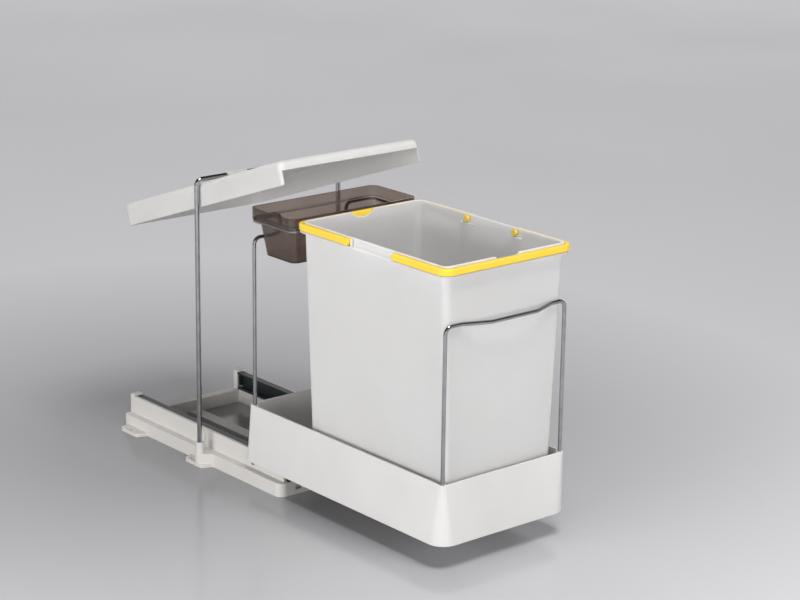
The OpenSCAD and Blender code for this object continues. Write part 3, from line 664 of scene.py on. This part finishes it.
def moulded_block(deep, long, high, soft):
    """A block that stands out along +X from the origin, with its outer edges rounded."""
    bpy.ops.object.select_all(action="DESELECT")
    bpy.ops.mesh.primitive_cube_add(
        size=1.0, location=(deep / 2, 0.0, 0.0), scale=(deep, long, high))
    block = bpy.context.object
    bpy.ops.object.transform_apply(location=True, rotation=True, scale=True)
    bpy.ops.object.mode_set(mode="EDIT")
    pick_edges(block, lambda end: end.x > deep * ALMOST)
    bpy.ops.mesh.bevel(offset=soft, segments=BLOCK_STEPS, affect="EDGES")
    bpy.ops.object.mode_set(mode="OBJECT")
    bpy.ops.object.shade_smooth_by_angle(angle=SMOOTH_UP_TO)
    return block


def bin_moulding(pattern, name, places):
    """Sets a block out to its places on the bin."""
    piece = set_out(pattern, name, places)
    bpy.data.objects.remove(pattern)
    piece.data.materials.append(bin_plastic)
    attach(piece, "bin")
    return piece


print("block edges rounded in", BLOCK_STEPS, "steps")

# %% [markdown]
# A stop stands on the flange beside each bail's end, a little higher than the bail, so that the
# bail can't slide along the rim. The ends of the bails give the places, so the stops follow if the
# bails change.

# %% Stops on the rim
STOP_GAP, STOP_L, STOP_OUT = 0.8 * MM, 2.4 * MM, 4.6 * MM
STOP_SOFT, STOP_PROUD = 0.8 * MM, 0.8 * MM
RIM_HALF = 104.8 * MM
OUTWARDS = ((1, NO_TURN), (-1, HALF_TURN))
rear_end, front_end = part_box("rear_handle")[0].y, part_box("front_handle")[1].y
bail_low, bail_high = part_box("rear_handle")
bail_z = (bail_low.z + bail_high.z) / 2
stop_ys = (rear_end - STOP_GAP - STOP_L / 2, front_end + STOP_GAP + STOP_L / 2)
stop_h = bail_high.z - bail_low.z + STOP_PROUD
rim_stops = bin_moulding(
    moulded_block(STOP_OUT, STOP_L, stop_h, STOP_SOFT), "rim_stops",
    [((side * RIM_HALF, y, bail_z), turn) for y in stop_ys for side, turn in OUTWARDS])
print(rim_stops.name, "at", [round(y / MM, 1) for y in stop_ys])

# %% [markdown]
# Inside the bin, a short ledge lies under each pin. It is the same block, longer and thinner, and
# turned to point inwards from the wall.

# %% Ledges under the pins
LEDGE_L, LEDGE_T, LEDGE_OUT = 26.0 * MM, 1.2 * MM, 4.2 * MM
LEDGE_SOFT, LEDGE_DROP = 0.5 * MM, 6.4 * MM
WALL_IN = 102.7 * MM
INWARDS = ((1, HALF_TURN), (-1, NO_TURN))
pin_ys = [
    sum(corner.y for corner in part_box(f"{end}_handle_pins")) / 2 for end in ("front", "rear")]
ledge_z = bail_z - LEDGE_DROP
pin_ledges = bin_moulding(
    moulded_block(LEDGE_OUT, LEDGE_L, LEDGE_T, LEDGE_SOFT), "pin_ledges",
    [((side * WALL_IN, y, ledge_z), turn) for y in pin_ys for side, turn in INWARDS])
print(pin_ledges.name, "at", [round(y / MM, 1) for y in pin_ys])

# %% [markdown]
# The floor is a plain pale sheet with a soft polish, so that the part mirrors faintly in it. A
# square plane would do, but a disc reaches equally far on every side. Its colour is painted greyer
# under the part, as painted shade, and paler further out, as painted light.

# %% Floor
FLOOR_RADIUS, FLOOR_SIDES = 14.0, 96
FLOOR_MIDDLE = (0.0, -0.3, 0.0)
bpy.ops.object.select_all(action="DESELECT")
bpy.ops.mesh.primitive_circle_add(
    vertices=FLOOR_SIDES, radius=FLOOR_RADIUS, fill_type="NGON", location=FLOOR_MIDDLE)
floor = bpy.context.object
floor.name = "pale_floor"
bpy.ops.object.transform_apply(location=True, rotation=True, scale=True)
floor_finish, tree, shader, place = start_finish("pale_floor")
polish = grain(tree, place, size_mm=700.0, detail=3.0)
reach = tree.nodes.new("ShaderNodeVectorMath")
reach.operation = "LENGTH"
tree.links.new(place, reach.inputs[0])
# Painted shade and light: the floor is dark grey round the part and paler further out.
pale = tones(
    tree, reach.outputs["Value"], low=(0.32, 0.32, 0.331), high=(0.80, 0.795, 0.822),
    start=0.25, end=1.0)
tree.links.new(pale, shader.inputs["Base Color"])
tree.links.new(spread(tree, polish, low=0.13, high=0.19), shader.inputs["Roughness"])
floor.data.materials.append(floor_finish)
print("floor radius:", FLOOR_RADIUS, "m")

# %% [markdown]
# Soft studio light. One broad softbox stands low at the left and one low in front, so that upright
# walls are bright and ledges stay dark. A smaller one overhead reaches into the bin, and a weak one
# high at the rear draws a line along the top edges. Mirrors don't see the two low boxes, because
# the polished floor would show them as white patches in views from the sides and the back.

# %% Softboxes
def softbox(name, where, towards, width, height, watts):
    """A rectangular lamp, aimed from one point towards another."""
    bpy.ops.object.light_add(type="AREA", location=where)
    lamp = bpy.context.object
    lamp.name = name
    lamp.rotation_euler = (Vector(towards) - Vector(where)).to_track_quat("-Z", "Y").to_euler()
    lamp.data.shape = "RECTANGLE"
    lamp.data.size = width
    lamp.data.size_y = height
    lamp.data.energy = watts
    return lamp


middle = (cad_low + cad_high) / 2
left_box = softbox(
    "left_softbox", where=(-2.6, -0.7, 0.52), towards=(0.0, -0.45, 0.2),
    width=1.6, height=0.8, watts=40.5)
front_box = softbox(
    "front_softbox", where=(0.3, -3.5, 0.80), towards=middle, width=1.8, height=1.1, watts=32.0)
top_box = softbox(
    "top_softbox", where=(-0.1, -1.2, 2.4), towards=(0.0, -0.4, 0.3),
    width=0.9, height=0.9, watts=33.0)
rear_box = softbox(
    "rear_softbox", where=(0.3, 1.3, 2.3), towards=middle, width=1.2, height=0.8, watts=5.0)
for low_box in (left_box, front_box):
    low_box.visible_glossy = False
print("lights:", [lamp.name for lamp in (left_box, front_box, top_box, rear_box)])

# %% [markdown]
# The surround is bright at the horizon and dark overhead. It is dimmer at both sides too, where a
# studio hangs grey cards, because chrome shows only its surroundings and needs darker lines to look
# like metal. Real cards could stand in the scene, but they would show in views from the sides, so
# the world's strength falls off there instead.

# %% Studio surround
surround = bpy.data.worlds.new("studio_surround")
surround.use_nodes = True
bpy.context.scene.world = surround
sky = surround.node_tree
direction = sky.nodes.new("ShaderNodeTexCoord").outputs["Generated"]
split = sky.nodes.new("ShaderNodeSeparateXYZ")
sky.links.new(direction, split.inputs[0])
glow = tones(
    sky, split.outputs["Z"], low=(1.08, 1.07, 1.10), high=(0.07, 0.063, 0.058),
    start=0.20, end=0.62)
sky.links.new(glow, sky.nodes["Background"].inputs["Color"])
sideways = sky.nodes.new("ShaderNodeVectorMath")
sideways.operation = "DOT_PRODUCT"
sideways.inputs[1].default_value = aim.col[0]
sky.links.new(direction, sideways.inputs[0])
either_side = sky.nodes.new("ShaderNodeMath")
either_side.operation = "ABSOLUTE"
sky.links.new(sideways.outputs["Value"], either_side.inputs[0])
cards = spread(sky, either_side.outputs[0], low=1.0, high=0.36, start=0.42, end=0.72)
sky.links.new(cards, sky.nodes["Background"].inputs["Strength"])
print("surround:", surround.name)
